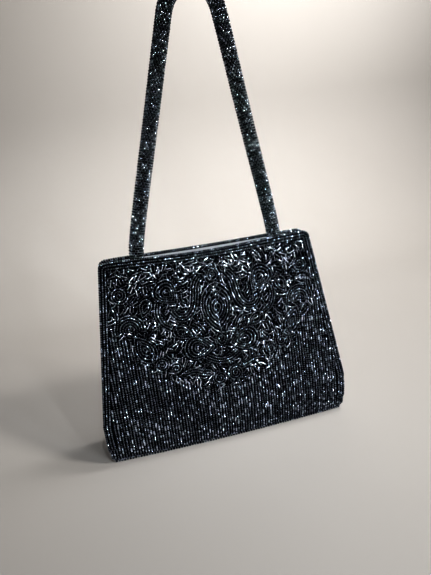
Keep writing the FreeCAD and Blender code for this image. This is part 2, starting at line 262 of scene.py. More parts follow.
def weave_group():
    """Fine over-and-under weave with slubs: a mask for colour and a height."""
    tree, given, out = node_group(
        "Shader", "cloth_weave",
        (("Place", "Vector", None), ("Threads", "Float", 1.0), ("Slub", "Float", 0.5)),
        (("Mask", "Float"), ("Height", "Float")))
    place = given["Place"]
    slub = mottle(tree, place, 140.0, 4.0)
    waves = []
    for direction in ("X", "Z"):
        waves.append(add(tree, "ShaderNodeTexWave",
                         {"Vector": place, "Scale": given["Threads"], "Distortion": 1.2,
                          "Detail": 1.0}, bands_direction=direction).outputs["Fac"])
    cross = maths(tree, "MULTIPLY", waves[0], waves[1])
    tree.links.new(maths(tree, "MULTIPLY_ADD", slub, given["Slub"], cross), out["Height"])
    tree.links.new(maths(tree, "MULTIPLY_ADD", slub, given["Slub"],
                         maths(tree, "MULTIPLY", cross, 0.5)), out["Mask"])
    return tree


def wear_group():
    """Handling wear: broad tarnish, fine scratches and a height for both."""
    tree, given, out = node_group(
        "Shader", "handling_wear",
        (("Place", "Vector", None), ("Scale", "Float", 300.0)),
        (("Tarnish", "Float"), ("Scratch", "Float"), ("Height", "Float")))
    broad = mottle(tree, given["Place"], given["Scale"], 5.0)
    stretched = add(tree, "ShaderNodeMapping",
                    {"Vector": given["Place"], "Scale": (1.0, 14.0, 6.0)}).outputs[0]
    fine = mottle(tree, stretched, 900.0, 2.0)
    tree.links.new(broad, out["Tarnish"])
    tree.links.new(maths(tree, "POWER", fine, 3.0), out["Scratch"])
    tree.links.new(maths(tree, "MULTIPLY_ADD", broad, 0.6, fine), out["Height"])
    return tree


GLASS = glass_group()
WEAVE = weave_group()
WEAR = wear_group()


# ---- materials
def new_material(name):
    """A material with its node tree, its shader and the place on the piece."""
    material = bpy.data.materials.new(name)
    material.use_nodes = True
    tree = material.node_tree
    place = add(tree, "ShaderNodeTexCoord").outputs["Object"]
    return material, tree, tree.nodes["Principled BSDF"], place


def use_group(tree, group, inputs):
    return add(tree, "ShaderNodeGroup", inputs, node_tree=group).outputs


def bump(tree, shader, height, distance, strength):
    node = add(tree, "ShaderNodeBump",
               {"Height": height, "Distance": distance, "Strength": strength})
    tree.links.new(node.outputs[0], shader.inputs["Normal"])


MIRROR = 0.97                # metallic share of the lined glass


def glass_material(name, dark, light, polish):
    material, tree, shader, place = new_material(name)
    tone = add(tree, "ShaderNodeAttribute", attribute_name="tone").outputs["Fac"]
    ring = add(tree, "ShaderNodeAttribute", attribute_name="ring").outputs["Fac"]
    glass = use_group(tree, GLASS, {"Tone": tone, "Ring": ring, "Place": place,
                                    "Dark": (*dark, 1), "Light": (*light, 1), "Polish": polish})
    tree.links.new(glass["Colour"], shader.inputs["Base Color"])
    tree.links.new(glass["Roughness"], shader.inputs["Roughness"])
    shader.inputs["Metallic"].default_value = MIRROR
    shader.inputs["Specular Tint"].default_value = (0.42, 0.46, 0.58, 1)
    bump(tree, shader, glass["Height"], 0.00006, 0.5)
    return material


def cloth_material(name, dark, light, threads, rough, sheen, slub=0.5, depth=0.00008,
                   gloss=0.5):
    material, tree, shader, place = new_material(name)
    weave = use_group(tree, WEAVE, {"Place": place, "Threads": threads, "Slub": slub})
    tree.links.new(mix_colour(tree, weave["Mask"], (*dark, 1), (*light, 1)),
                   shader.inputs["Base Color"])
    tree.links.new(maths(tree, "MULTIPLY_ADD", weave["Mask"], -0.15, rough),
                   shader.inputs["Roughness"])
    shader.inputs["Sheen Weight"].default_value = sheen
    shader.inputs["Specular IOR Level"].default_value = gloss
    shader.inputs["Sheen Roughness"].default_value = 0.4
    bump(tree, shader, weave["Height"], depth, 0.6)
    return material


def metal_material(name, bright, dull, rough, scale, metal=1.0):
    material, tree, shader, place = new_material(name)
    wear = use_group(tree, WEAR, {"Place": place, "Scale": scale})
    mask = maths(tree, "MULTIPLY_ADD", wear["Tarnish"], 0.8, -0.1)
    tree.links.new(mix_colour(tree, mask, (*bright, 1), (*dull, 1)), shader.inputs["Base Color"])
    tree.links.new(maths(tree, "MULTIPLY_ADD", wear["Scratch"], 0.4, rough),
                   shader.inputs["Roughness"])
    shader.inputs["Metallic"].default_value = metal
    bump(tree, shader, wear["Height"], 0.00003, 0.4)
    return material


SEED_GLASS = glass_material("navy_seed_glass", (0.003, 0.004, 0.008), (0.80, 0.88, 1.0),
                            0.08)
ROPE_GLASS = glass_material("handle_seed_glass", (0.003, 0.0035, 0.005), (0.80, 0.86, 0.94),
                            0.08)
BUGLE_GLASS = glass_material("silver_bugle_glass", (0.006, 0.008, 0.012), (0.82, 0.87, 0.97),
                             0.06)
BEAD_CLOTH = cloth_material("bead_ground_cloth", (0.0015, 0.0018, 0.003), (0.006, 0.007, 0.011),
                            420.0, 0.8, 0.0, gloss=0.04)
GREY_SATIN = cloth_material("grey_satin", (0.2, 0.202, 0.212), (0.29, 0.293, 0.305),
                            900.0, 0.5, 0.25, slub=0.6)
BLACK_SATIN = cloth_material("black_satin", (0.008, 0.009, 0.014), (0.035, 0.037, 0.05),
                             900.0, 0.42, 0.3, slub=0.6)
LINING_SATIN = cloth_material("lining_satin", (0.05, 0.052, 0.062), (0.12, 0.124, 0.14),
                              900.0, 0.45, 0.3, slub=0.6)
BUCKRAM_CLOTH = cloth_material("buckram", (0.30, 0.27, 0.21), (0.55, 0.50, 0.40),
                               500.0, 0.95, 0.0, slub=0.9)
TAPE_CLOTH = cloth_material("zip_tape_weave", (0.012, 0.013, 0.018), (0.05, 0.052, 0.062),
                            650.0, 0.8, 0.15)
NICKEL = metal_material("zip_nickel", (0.55, 0.56, 0.58), (0.24, 0.24, 0.25), 0.2, 260.0)
NYLON = metal_material("zip_coil_nylon", (0.03, 0.031, 0.038), (0.07, 0.072, 0.08), 0.35,
                       400.0, metal=0.0)
CARD = cloth_material("base_card", (0.20, 0.17, 0.13), (0.34, 0.30, 0.24), 200.0, 0.95, 0.0,
                      slub=0.9)


# ---- geometry node trees
def bead_tree():
    """One barrel or tube bead on every point, turned along the thread."""
    tree, given, out = node_group(
        "Geometry", "strung_beads",
        (("Threaded points", "Geometry", None), ("Bead width", "Float", 0.002),
         ("Bead length", "Float", 0.0016), ("Sides", "Int", 8), ("End narrowing", "Float", 0.3),
         ("Tilt", "Float", 0.1), ("Size spread", "Float", 0.06), ("Seed", "Int", 1),
         ("Rounded", "Bool", True), ("Glass", "Material", None)), (("Beads", "Geometry"),))
    barrel = add(tree, "GeometryNodeMeshCylinder",
                 {"Vertices": given["Sides"], "Side Segments": 3, "Radius": 0.5, "Depth": 1.0})
    place = add(tree, "GeometryNodeInputPosition").outputs[0]
    parts = add(tree, "ShaderNodeSeparateXYZ", {0: place}).outputs
    ring = maths(tree, "ABSOLUTE", maths(tree, "MULTIPLY", parts["Z"], 2.0))
    narrow = maths(tree, "MULTIPLY", maths(tree, "POWER", ring, 3.0), given["End narrowing"])
    waist = maths(tree, "SUBTRACT", 1.0, narrow)
    shaped = add(tree, "ShaderNodeCombineXYZ",
                 {"X": maths(tree, "MULTIPLY", parts["X"], waist),
                  "Y": maths(tree, "MULTIPLY", parts["Y"], waist), "Z": parts["Z"]}).outputs[0]
    marked = add(tree, "GeometryNodeStoreNamedAttribute",
                 {"Geometry": barrel.outputs["Mesh"], "Name": "ring", "Value": ring},
                 data_type="FLOAT", domain="POINT").outputs[0]
    barrel = add(tree, "GeometryNodeSetPosition", {"Geometry": marked, "Position": shaped})
    along = add(tree, "GeometryNodeInputNamedAttribute", {"Name": "along"},
                data_type="FLOAT_VECTOR").outputs[0]
    stretch = add(tree, "GeometryNodeInputNamedAttribute", {"Name": "stretch"},
                  data_type="FLOAT").outputs[0]
    threaded = add(tree, "FunctionNodeAlignRotationToVector", {"Vector": along}, axis="Z")
    least = add(tree, "ShaderNodeCombineXYZ",
                {key: maths(tree, "MULTIPLY", given["Tilt"], -1.0) for key in "XYZ"})
    most = add(tree, "ShaderNodeCombineXYZ", {key: given["Tilt"] for key in "XYZ"})
    tilt = add(tree, "FunctionNodeRandomValue",
               {0: least.outputs[0], 1: most.outputs[0], "Seed": given["Seed"]},
               data_type="FLOAT_VECTOR")
    tilt = add(tree, "FunctionNodeEulerToRotation", {0: tilt.outputs[0]})
    turned = add(tree, "FunctionNodeRotateRotation",
                 {0: threaded.outputs[0], 1: tilt.outputs[0]}, rotation_space="LOCAL")
    size = add(tree, "FunctionNodeRandomValue",
               {2: maths(tree, "SUBTRACT", 1.0, given["Size spread"]),
                3: maths(tree, "ADD", 1.0, given["Size spread"]),
                "Seed": maths(tree, "ADD", given["Seed"], 17.0)}, data_type="FLOAT").outputs[1]
    width = maths(tree, "MULTIPLY", given["Bead width"], size)
    length = maths(tree, "MULTIPLY", given["Bead length"], stretch)
    scale = add(tree, "ShaderNodeCombineXYZ", {"X": width, "Y": width, "Z": length})
    beads = add(tree, "GeometryNodeInstanceOnPoints",
                {"Points": given["Threaded points"], "Instance": barrel.outputs[0],
                 "Rotation": turned.outputs[0], "Scale": scale.outputs[0]})
    real = add(tree, "GeometryNodeRealizeInstances", {0: beads.outputs[0]})
    soft = add(tree, "GeometryNodeSetShadeSmooth",
               {"Geometry": real.outputs[0], "Shade Smooth": given["Rounded"]})
    done = add(tree, "GeometryNodeSetMaterial",
               {"Geometry": soft.outputs[0], "Material": given["Glass"]})
    tree.links.new(done.outputs[0], out["Beads"])
    return tree


def coil_tree():
    """Nylon coil of a zip: a flattened helix that runs along X."""
    tree, given, out = node_group(
        "Geometry", "zip_coil",
        (("Holder", "Geometry", None), ("Turns", "Float", 40.0), ("Length", "Float", 0.1),
         ("Half width", "Float", 0.001), ("Flatness", "Float", 0.6), ("Wire", "Float", 0.0003),
         ("Start turn", "Float", 0.0), ("Middle", "Vector", None), ("Nylon", "Material", None)),
        (("Coil", "Geometry"),))

    def moved(line, **change):
        return add(tree, "GeometryNodeTransform", {"Geometry": line.outputs[0], **change})

    spiral = add(tree, "GeometryNodeCurveSpiral",
                 {"Resolution": 12, "Rotations": given["Turns"], "Height": given["Length"],
                  "Start Radius": given["Half width"], "End Radius": given["Half width"]})
    start = add(tree, "ShaderNodeCombineXYZ", {"Z": given["Start turn"]})
    spiral = moved(spiral, Rotation=start.outputs[0])
    flat = add(tree, "ShaderNodeCombineXYZ", {"X": given["Flatness"], "Y": 1.0, "Z": 1.0})
    spiral = moved(spiral, Scale=flat.outputs[0])
    spiral = moved(spiral, Rotation=(0.0, math.pi / 2, 0.0), Translation=given["Middle"])
    wire = add(tree, "GeometryNodeCurvePrimitiveCircle",
               {"Resolution": 6, "Radius": given["Wire"]})
    tube = add(tree, "GeometryNodeCurveToMesh",
               {"Curve": spiral.outputs[0], "Profile Curve": wire.outputs[0], "Fill Caps": True})
    soft = add(tree, "GeometryNodeSetShadeSmooth", {"Geometry": tube.outputs[0]})
    real = add(tree, "GeometryNodeRealizeInstances", {0: soft.outputs[0]})
    done = add(tree, "GeometryNodeSetMaterial",
               {"Geometry": real.outputs[0], "Material": given["Nylon"]})
    tree.links.new(done.outputs[0], out["Coil"])
    return tree


BEADS = bead_tree()
COIL = coil_tree()


def grow(name, mesh, tree, settings):
    """Runs a node tree on a mesh and returns the plain result as a new object."""
    holder = link(name + "_holder", mesh)
    modifier = holder.modifiers.new("grow", "NODES")
    modifier.node_group = tree
    for item in tree.interface.items_tree:
        if item.item_type == "SOCKET" and item.in_out == "INPUT" and item.name in settings:
            modifier[item.identifier] = settings[item.name]
    holder.update_tag()
    depsgraph = bpy.context.evaluated_depsgraph_get()
    result = bpy.data.meshes.new_from_object(holder.evaluated_get(depsgraph))
    holder.modifiers.remove(modifier)
    bpy.data.objects.remove(holder)
    bpy.data.meshes.remove(mesh)
    result.name = name
    return link(name, result)


# ---- strings of beads
class Strand(list):
    """Beads waiting to be made: where each one is, along which thread, how long and how light."""

    def add(self, point, along, stretch, tone):
        self.append((tuple(point), tuple(along), stretch, tone))

    def part(self, keep):
        return Strand(bead for bead in self if keep(bead[0]))

    def make(self, name, glass, seed, width=SEED_WIDTH, length=SEED_LENGTH, sides=8,
             narrowing=0.36, tilt=0.1, spread=0.07):
        points, threads, stretches, tones = zip(*self)
        mesh = bpy.data.meshes.new(name + "_points")
        mesh.from_pydata(list(points), [], [])
        along = mesh.attributes.new("along", "FLOAT_VECTOR", "POINT")
        along.data.foreach_set("vector", [value for thread in threads for value in thread])
        for label, values in (("stretch", stretches), ("tone", tones)):
            mesh.attributes.new(label, "FLOAT", "POINT").data.foreach_set("value", values)
        return grow(name, mesh, BEADS, {
            "Bead width": width * MM, "Bead length": length * MM, "Sides": sides,
            "End narrowing": narrowing, "Tilt": tilt, "Size spread": spread, "Seed": seed,
            "Rounded": True, "Glass": glass})


class Layout:
    """Places on one wall that already hold a bead."""
    CELL = 2.5

    def __init__(self):
        self.cells = {}

    def free(self, x, z, reach):
        column, row = int(x // self.CELL), int(z // self.CELL)
        return not any((a - x) ** 2 + (b - z) ** 2 < reach * reach
                       for i in (column - 1, column, column + 1)
                       for j in (row - 1, row, row + 1)
                       for a, b in self.cells.get((i, j), ()))

    def take(self, x, z):
        self.cells.setdefault((int(x // self.CELL), int(z // self.CELL)), []).append((x, z))


def seed_tone(rng, glint=0.03):
    pick = rng.random()
    if pick < glint:
        return rng.uniform(0.6, 1.0)
    if pick < 0.2:
        return rng.uniform(0.35, 0.72)
    return rng.uniform(0.04, 0.2)


def walk(path, step, closed=False):
    """Points and directions at even steps along a path of (x, z) points."""
    points = list(path) + ([path[0]] if closed else [])
    lengths = [math.dist(a, b) for a, b in zip(points, points[1:])]
    total = sum(lengths)
    count = max(1, round(total / step))
    step = total / count
    marks = []
    leg = 0
    passed = 0.0
    for index in range(count):
        target = (index + 0.5) * step
        while leg < len(lengths) - 1 and passed + lengths[leg] < target:
            passed += lengths[leg]
            leg += 1
        share = (target - passed) / max(lengths[leg], 1e-9)
        (ax, az), (bx, bz) = points[leg], points[leg + 1]
        marks.append((ax + (bx - ax) * share, az + (bz - az) * share,
                      (bx - ax) / max(lengths[leg], 1e-9), (bz - az) / max(lengths[leg], 1e-9)))
    return marks


def sew(strand, side, x, z, dx, dz, stretch, tone, depth=SEED_DEPTH):
    ahead = wall_point(side, x + 0.5 * dx, z + 0.5 * dz, depth)
    behind = wall_point(side, x - 0.5 * dx, z - 0.5 * dz, depth)
    strand.add(wall_point(side, x, z, depth), (ahead - behind).normalized(), stretch, tone)


def lay_path(strand, layout, side, path, rng, closed=False, reach=1.6, glint=0.03):
    """A row of seed beads along a path, left out where other beads already are."""
    marks = walk(path, SEED_STEP, closed)
    fits = [layout.free(x, z, reach) for x, z, dx, dz in marks]
    for (x, z, dx, dz), fit in zip(marks, fits):
        if fit and z > SEAM_Z + 0.6:
            sew(strand, side, x, z, dx, dz, 1.0, seed_tone(rng, glint))
    for (x, z, dx, dz), fit in zip(marks, fits):
        if fit:
            layout.take(x, z)


def wall_edge(inset):
    """Line up one side of a wall, round its corner, along its rim and down the other side."""
    radius = CORNER - inset
    turn = RIM_Z - inset - radius
    levels = (SEAM_Z, 20, 26, 31, WIDE_Z, 60, 90, 120, turn - 4)
    side_line = [(half_width(z) - inset, z) for z in levels]
    corner = []
    for i in range(13):
        angle = math.pi / 2 * i / 12
        corner.append((half_width(turn) - inset - radius + radius * math.cos(angle),
                       turn + radius * math.sin(angle)))
    right = side_line + corner
    return [(-x, z) for x, z in right] + [(x, z) for x, z in reversed(right)]


# ---- motif of the front wall
def rotated(points, cx, cz, degrees):
    c, s = math.cos(math.radians(degrees)), math.sin(math.radians(degrees))
    return [(cx + x * c - z * s, cz + x * s + z * c) for x, z in points]


def petal(cx, cz, length, half, turn, foot, ends=0.0):
    """Closed outline with its head up at turn 0. foot points the foot, ends points both ends."""
    steps = [TAU * i / 72 for i in range(72)]
    across = [math.sin(t) * abs(math.sin(t)) ** ends * math.sin(t / 2) ** foot for t in steps]
    most = max(across)
    points = [(half * a / most, -length / 2 * math.cos(t)) for a, t in zip(across, steps)]
    return rotated(points, cx, cz, turn)


def shrunk(outline, share):
    cx = sum(x for x, z in outline) / len(outline)
    cz = sum(z for x, z in outline) / len(outline)
    return [(cx + (x - cx) * share, cz + (z - cz) * share) for x, z in outline]


def curve(points, steps=8):
    """Smooth line through a few points."""
    ends = [points[0]] + list(points) + [points[-1]]
    line = []
    for a, b, c, d in zip(ends, ends[1:], ends[2:], ends[3:]):
        for i in range(steps):
            t = i / steps
            line.append(tuple(
                0.5 * (2 * b[k] + (c[k] - a[k]) * t
                       + (2 * a[k] - 5 * b[k] + 4 * c[k] - d[k]) * t * t
                       + (3 * b[k] - a[k] - 3 * c[k] + d[k]) * t ** 3) for k in (0, 1)))
    line.append(points[-1])
    return line


def beside(line, offset):
    """Line that runs beside another at a steady distance."""
    result = []
    for i, (x, z) in enumerate(line):
        ax, az = line[max(i - 1, 0)]
        bx, bz = line[min(i + 1, len(line) - 1)]
        length = math.dist((ax, az), (bx, bz)) or 1.0
        result.append((x - offset * (bz - az) / length, z + offset * (bx - ax) / length))
    return result


def arc(cx, cz, radius, start, end):
    count = max(4, int(radius * 3))
    angles = [math.radians(start + (end - start) * i / count) for i in range(count + 1)]
    return [(cx + radius * math.cos(a), cz + radius * math.sin(a)) for a in angles]


def spiral(cx, cz, radius, start):
    turns = radius / CONTOUR_PITCH
    count = int(turns * 28)
    line = []
    for i in range(count + 1):
        share = i / count
        angle = math.radians(start) + TAU * turns * share
        reach = radius * (1 - share) + 0.2
        line.append((cx + reach * math.cos(angle), cz + reach * math.sin(angle)))
    return line


# Lower edge of the motif, as (x, z) along the wall.
MOTIF_EDGE = ((-104, 122), (-91, 115), (-74, 102), (-60, 76), (-45, 65), (-26, 57), (-8, 48.5),
              (10, 49), (26, 58), (45, 66), (60, 75), (76, 99), (92, 116), (104, 124))


def motif_edge(x):
    for (ax, az), (bx, bz) in zip(MOTIF_EDGE, MOTIF_EDGE[1:]):
        if ax <= x <= bx:
            return az + (bz - az) * (x - ax) / (bx - ax)
    return MOTIF_EDGE[0][1]


# Petals on the right half, each mirrored: middle x, z, length, half width, turn, foot, ends.
PETALS = (
    (37.2, 132.6, 22.0, 9.0, -38, 1.1, 0.0),
    (18.4, 85.6, 24.0, 9.2, -84, 0.9, 0.1),
    (29.5, 99.8, 16.0, 4.8, -62, 0.9, 0.2),
    (61.0, 92.5, 25.0, 7.4, 152, 0.7, 0.2),
    (55.5, 124.0, 15.0, 4.4, 24, 1.0, 0.3),
)
SPIRALS = ((72.8, 137.0, 6.6, 200), (50.0, 77.6, 6.0, 90), (39.4, 72.8, 4.8, 30))
BOTTOM_SPIRALS = ((-5.6, 57.4, 6.2, 100), (7.8, 59.2, 6.8, 60))
# Bands on the right half, each mirrored: points of the middle line, then the number of rows.
BANDS = (
    (((10.5, 142), (14.8, 136), (16.6, 127), (19, 118.5), (24.5, 112.6), (31, 112.8), (35, 118)),
     4),
    (((24.5, 122.5), (27.5, 126), (27.5, 131)), 2),
    (((45.5, 126), (47, 118), (44, 109.5), (37.5, 104.5)), 3),
    (((12.8, 63.6), (19, 65.2), (26, 67.6), (33, 66.8)), 3),
    (((12.5, 97), (16, 103), (21, 106.5)), 2),
    (((79.0, 129), (77.5, 121), (80, 111)), 2),
)
JOINING_BAND = ((-13, 76.5), (-6, 72.6), (0, 71.4), (6, 72.6), (13, 76.5))
FANS = ((69.5, 109.5, 11.5, -10, 190),)


def lay_motif(seeds, bugles, layout):
    rng = random.Random(21)

    def row(path, closed=False):
        lay_path(seeds, layout, -1, path, rng, closed, reach=1.55, glint=0.02)

    def contour(outline, half):
        rows = int(half / CONTOUR_PITCH + 0.5)
        for index in range(rows):
            row(shrunk(outline, 1 - index * CONTOUR_PITCH / half), closed=True)

    def band(points, rows):
        line = curve(points)
        for index in range(rows):
            row(beside(line, (index - (rows - 1) / 2) * CONTOUR_PITCH))

    almond = petal(0.2, 115.0, 34.0, 10.8, 0, 0.3, 0.25)
    contour(almond, 10.8)
    for x, z, dx, dz in walk(shrunk(almond, 1.19), 4.6, closed=True):
        if x < 2 or z > 123:
            place_bugle(bugles, layout, x, z, math.atan2(dz, dx), 0.85, rng.uniform(0.1, 0.7), 1.2)
    contour(petal(-0.4, 142.4, 16.0, 6.0, 180, 0.9), 6.0)
    contour(petal(0.2, 89.4, 11.0, 4.6, 0, 0.5), 4.6)
    for cx, cz, radius, start in BOTTOM_SPIRALS:
        row(spiral(cx, cz, radius, start))
    band(JOINING_BAND, 3)
    for mirror in (-1, 1):
        for cx, cz, length, half, turn, foot, ends in PETALS:
            contour(petal(mirror * cx, cz, length, half, mirror * turn, foot, ends), half)
        for cx, cz, radius, start in SPIRALS:
            row([(mirror * x, z) for x, z in spiral(cx, cz, radius, start)])
        for points, rows in BANDS:
            band([(mirror * x, z) for x, z in points], rows)
        for cx, cz, radius, start, end in FANS:
            reach = radius
            while reach > 1:
                row([(mirror * x, z) for x, z in arc(cx, cz, reach, start, end)])
                reach -= CONTOUR_PITCH
        for index in range(7):
            angle = math.radians(15 + 22 * index)
            x = mirror * (15.5 + 5.2 * math.cos(angle))
            place_bugle(bugles, layout, x, 144.5 + 4.6 * math.sin(angle),
                        math.atan2(math.sin(angle), mirror * math.cos(angle)), 0.9,
                        rng.uniform(0.6, 1.0), 1.3)


def place_bugle(bugles, layout, x, z, angle, stretch, tone, reach, lift=0.0):
    """A tube bead lying at any angle, if its whole length is free."""
    dx, dz = math.cos(angle), math.sin(angle)
    half = BUGLE_LENGTH * stretch / 2 - 0.5
    spots = [(x + dx * half * s, z + dz * half * s) for s in (-1, -0.5, 0, 0.5, 1)]
    if not all(layout.free(a, b, reach) for a, b in spots):
        return
    for a, b in spots:
        layout.take(a, b)
    sew(bugles, -1, x, z, dx, dz, stretch, tone, depth=BUGLE_DEPTH - lift)


def in_motif(x, z):
    return z > motif_edge(x) and abs(x) < edge_half(z, MOTIF_INSET) and z < RIM_Z - MOTIF_INSET


def scatter_bugles(bugles, seeds, layout):
    """Loose tube beads in every direction between the motifs, then seeds in what is left."""
    rng = random.Random(5)
    for tries, shortest, longest, reach in (
            (26000, 0.85, 1.1, 1.42), (16000, 0.55, 0.8, 1.32)):
        for attempt in range(tries):
            x = rng.uniform(-90, 90)
            z = rng.uniform(48, RIM_Z - 7)
            angle = rng.uniform(0, math.pi)
            stretch = rng.uniform(shortest, longest)
            tone = 0.05 + 0.95 * rng.random() ** 2.0
            if in_motif(x, z):
                place_bugle(bugles, layout, x, z, angle, stretch, tone, reach,
                            rng.uniform(-0.1, 0.25))
    for attempt in range(30000):
        x = rng.uniform(-90, 90)
        z = rng.uniform(48, RIM_Z - 7)
        angle = rng.uniform(0, math.pi)
        if in_motif(x, z) and layout.free(x, z, 1.5):
            layout.take(x, z)
            sew(seeds, -1, x, z, math.cos(angle), math.sin(angle), 0.9, seed_tone(rng))


# ---- rows of the walls and base
ROWS = 46


def lay_rows(strand, dashes, layout, side, rng):
    """Upright rows over the whole wall, wherever the cloth is still free."""
    for index in range(-ROWS, ROWS + 1):
        x = index * ROW_PITCH
        z = RIM_Z - 6.5
        while z > SEAM_Z + 0.95:
            dash = rng.random() < DASH_SHARE
            step = SEED_STEP * (2.0 if dash else 1.0)
            sway = x + 0.18 * math.sin(z * 0.21 + index * 1.7)
            middle = z - step / 2
            ends = (middle - step / 4, middle + step / 4) if dash else (middle,)
            inside = abs(x) < edge_half(z, ROW_INSET)
            if inside and all(layout.free(sway, end, 1.5) for end in ends):
                tone = seed_tone(rng, 0.04)
                if dash:
                    sew(dashes, side, sway, middle, 0.0, 1.0, 1.0, tone)
                else:
                    sew(strand, side, sway, middle, 0.0, 1.0, 1.0, tone)
                z -= step
            else:
                z -= SEED_STEP * 0.25 if inside else SEED_STEP


def lay_base(strand, rng):
    """Rows that go on from the walls, down round the base and under it."""
    def put(x, y, z, along):
        strand.add(Vector((x, y, z)) * MM, along, 1.0, seed_tone(rng, 0.03))

    def down(spot, fits):
        """One row from the seam to the floor; spot gives its x and y at a level."""
        z = SEAM_Z - SEED_STEP / 2
        while z > SEED_DEPTH and fits(z):
            (x, y), (x_low, y_low) = spot(z), spot(z - 1)
            along = Vector((x - x_low, y - y_low, 1)).normalized()
            put(x, y, z, along)
            z -= SEED_STEP * along.z

    for index in range(-ROWS, ROWS + 1):
        x = index * ROW_PITCH
        for side in (-1, 1):
            down(lambda z: (x, side * (half_depth(z) - bow_drop(x, z) - SEED_DEPTH)),
                 lambda z: abs(x) < half_width(z) - 0.6)
        if abs(x) < BASE_HALF_WIDTH - 0.5:
            reach = half_depth(0) - bow_drop(x, 0) - 2.2
            count = int(2 * reach / SEED_STEP)
            for i in range(count + 1):
                put(x, -reach + 2 * reach * i / count, SEED_DEPTH, (0, 1, 0))
    for side in (-1, 1):
        for index in range(-9, 10):
            y = index * ROW_PITCH
            down(lambda z: (side * (half_width(z) - SEED_DEPTH), y),
                 lambda z: abs(y) < half_depth(z) - WALL_BOW - 1.6)


def lay_border(strand, layout, side, rng):
    for index in range(3):
        inset = 1.05 + index * ROW_PITCH
        lay_path(strand, layout, side, wall_edge(inset), rng, reach=0.5)
    for x, z, dx, dz in walk(((-RIM_TOP_HALF, RIM_TOP_ROW), (RIM_TOP_HALF, RIM_TOP_ROW)),
                             SEED_STEP):
        if side > 0 or abs(abs(x) - HANDLE_FOOT_X) > FOOT_GAP:
            sew(strand, side, x, z, dx, dz, 1.0, seed_tone(rng), RIM_TOP_DEPTH)


def ride(piece, body, slot, *nodes):
    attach(piece, body)
    if nodes:
        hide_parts(*nodes)


def make_border(border, word, body, seed):
    """The rim's beads as one piece and the side edges' as another."""
    piece = border.part(lambda p: p[2] > RIM_SPLIT).make(word + "_rim_glass", SEED_GLASS, seed)
    ride(piece, body, "beads", word + "_rim_beads")
    edge = border.part(lambda p: p[2] <= RIM_SPLIT)
    ride(edge.make(word + "_edge_glass", SEED_GLASS, seed + 1), body, "beads")


def make_rows(rows, word, body, seed, sides):
    for half, keep in (("left", lambda p: p[0] < 0), ("right", lambda p: p[0] >= 0)):
        ride(rows.part(keep).make(word + "_rows_glass_" + half, SEED_GLASS, seed, sides=sides),
             body, "beads")


def make_dashes(dashes, word, body, seed, *nodes):
    piece = dashes.make(word + "_dash_glass", SEED_GLASS, seed, DASH_WIDTH, DASH_LENGTH,
                        narrowing=0.15)
    ride(piece, body, "beads", *nodes)


def make_front():
    layout = Layout()
    border, seeds, bugles, rows, dashes = (Strand() for _ in range(5))
    lay_border(border, layout, -1, random.Random(3))
    lay_motif(seeds, bugles, layout)
    scatter_bugles(bugles, seeds, layout)
    lay_rows(rows, dashes, layout, -1, random.Random(11))
    make_border(border, "front", "front_wall", 31)
    piece = seeds.make("front_motif_glass", SEED_GLASS, 33, width=1.78, narrowing=0.45)
    ride(piece, "front_wall", "beads", "front_beadwork")
    ride(bugles.make("front_bugle_glass", BUGLE_GLASS, 34, BUGLE_WIDTH, BUGLE_LENGTH, sides=8,
                     narrowing=0.12, tilt=0.16), "front_wall", "beads")
    make_rows(rows, "front", "front_wall", 35, 8)
    make_dashes(dashes, "front", "front_wall", 36)


def make_back():
    layout = Layout()
    border, rows, dashes = (Strand() for _ in range(3))
    lay_border(border, layout, 1, random.Random(4))
    lay_rows(rows, dashes, layout, 1, random.Random(12))
    make_border(border, "back", "bag", 41)
    make_dashes(dashes, "back", "bag", 43, "back_beadwork")
    make_rows(rows, "back", "bag", 44, 7)


def make_base():
    strand = Strand()
    lay_base(strand, random.Random(6))
    piece = strand.make("base_glass", SEED_GLASS, 51, sides=7)
    ride(piece, "bag", "beads", "base_beadwork")


make_front()
make_back()
make_base()


# ---- handle
# Middle line of the rope from its left foot over the top to its right foot.
HANDLE_LINE = ((-54.6, 159.0), (-54.0, 172.0), (-29.6, 254.0), (-12.4, 313.0), (-5.2, 337.5),
               (11.0, 342.2), (27.6, 338.5), (32.6, 311.0), (42.0, 251.5), (55.9, 172.0),
               (56.1, 159.0))
BEADS_ROUND = 14
RING_STEP = 1.92
TUBE_HALF_WIDTH = 5.85
TUBE_HALF_DEPTH = 5.9
HANDLE_BEAD_DEPTH = 1.05     # middle of a bead below the tube's outer face
ROPE_DEPTH = 1.75            # the rope's face below the tube's outer face
ARCH_TOP_X = 11.0            # where the left and right beads meet
NECK_Z = 161.5               # where the foot comes out between the wall and its facing


def handle_curve():
    """Quadratic spline with the handle line as its control points."""
    mids = [((a[0] + b[0]) / 2, (a[1] + b[1]) / 2) for a, b in zip(HANDLE_LINE, HANDLE_LINE[1:])]
    line = [HANDLE_LINE[0]]
    for start, control, end in zip(mids, HANDLE_LINE[1:], mids[1:]):
        for i in range(16):
            t = i / 16
            line.append(tuple((1 - t) ** 2 * start[k] + 2 * t * (1 - t) * control[k]
                              + t * t * end[k] for k in (0, 1)))
    return line + [mids[-1], HANDLE_LINE[-1]]


def rope_section(x, z):
    """Middle y, half width and half depth of the rope at level z; its feet are flattened."""
    neck_front = -(half_depth(NECK_Z) - bow_drop(x, NECK_Z) - WALL) + 0.25
    neck_back = HANDLE_Y + 4.1
    share = smooth((FOLD_Z - 1 - z) / 7.0)
    neck_half = (neck_back - neck_front) / 2
    middle = HANDLE_Y + (neck_front + neck_half - HANDLE_Y) * share
    return middle, TUBE_HALF_WIDTH, TUBE_HALF_DEPTH + (neck_half - TUBE_HALF_DEPTH) * share


def handle_rings():
    """Rings from foot to foot: middle, tangent, half width and half depth."""
    rings = []
    for x, z, dx, dz in walk(handle_curve(), RING_STEP):
        y, half_x, half_y = rope_section(x, z)
        rings.append((Vector((x, y, z)), Vector((dx, 0, dz)), half_x, half_y))
    return rings


